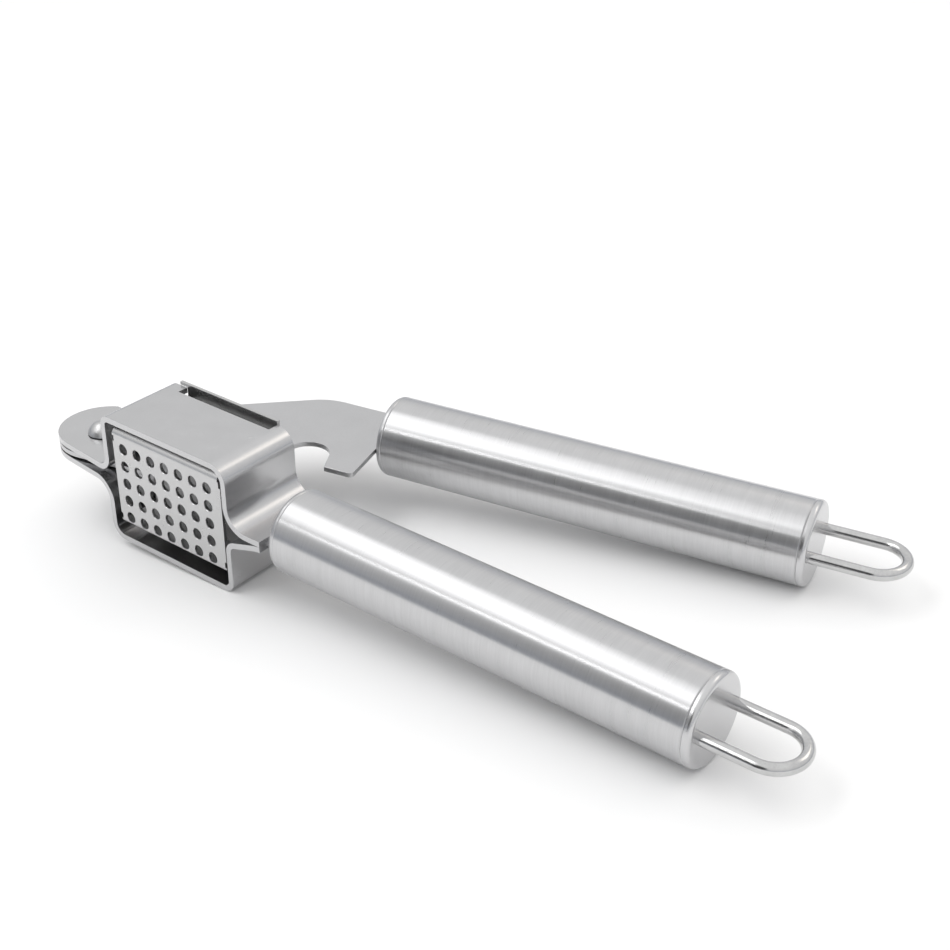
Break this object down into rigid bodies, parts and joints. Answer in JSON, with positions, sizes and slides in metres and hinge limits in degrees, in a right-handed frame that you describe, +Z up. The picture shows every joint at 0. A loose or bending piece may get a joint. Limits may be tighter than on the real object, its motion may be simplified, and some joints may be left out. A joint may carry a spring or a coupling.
{
  "type": "garlic press",
  "caption": "Stamped steel garlic press with a box-shaped sieve, a hinged lever with a bottle-opener hook, a swivelling plunger and tubular handles with wire hanging loops.",
  "frame": {"origin": "bottom centre of the press's overall box, as it lies half open with its sieve box's underside on Z = 0", "axes": "+X from the pivot along the sieve box's handle to its hanging loop, +Y from the sieve face towards the lever, +Z up along the pivot axis"},
  "size_m": [0.2056, 0.0888, 0.0339],
  "materials": {
    "housing_steel": "satin, fine grain",
    "sieve_steel": "satin sheet",
    "rivet_steel": "satin domed head",
    "lever_steel": "satin, tumbled",
    "plunger_steel": "satin",
    "tube_steel": "circumferential brushing",
    "cap_steel": "brushed",
    "wire_steel": "polished wire"
  },
  "bodies": {
    "box_arm": {"upper_shell": "housing_steel", "lower_shell": "housing_steel", "sieve_insert": "sieve_steel", "pivot_rivet": "rivet_steel", "box_handle_tube": "tube_steel", "box_handle_front_cap": "cap_steel", "box_handle_end_cap": "cap_steel", "box_handle_loop": "wire_steel"},
    "lever_arm": {"lever_plate": "lever_steel", "lever_handle_tube": "tube_steel", "lever_handle_front_cap": "cap_steel", "lever_handle_end_cap": "cap_steel", "lever_handle_loop": "wire_steel"},
    "plunger": {"plunger_plate": "plunger_steel", "plunger_bracket": "plunger_steel", "plunger_pin": "rivet_steel"}
  },
  "joints": [
    {"name": "lever_hinge", "type": "hinge", "parent": "box_arm", "child": "lever_arm", "pos_m": [-0.08977, -0.03385, 0.0165], "axis": [0, 0, 1], "range_deg": [-12, 60]},
    {"name": "plunger_swivel", "type": "hinge", "parent": "lever_arm", "child": "plunger", "pos_m": [-0.05511, -0.03031, 0.0165], "axis": [0, 0, 1], "range_deg": [-60, 12]}
  ],
  "couplings": [
    {"joint": "plunger_swivel", "follows": "lever_hinge", "ratio": -1}
  ]
}
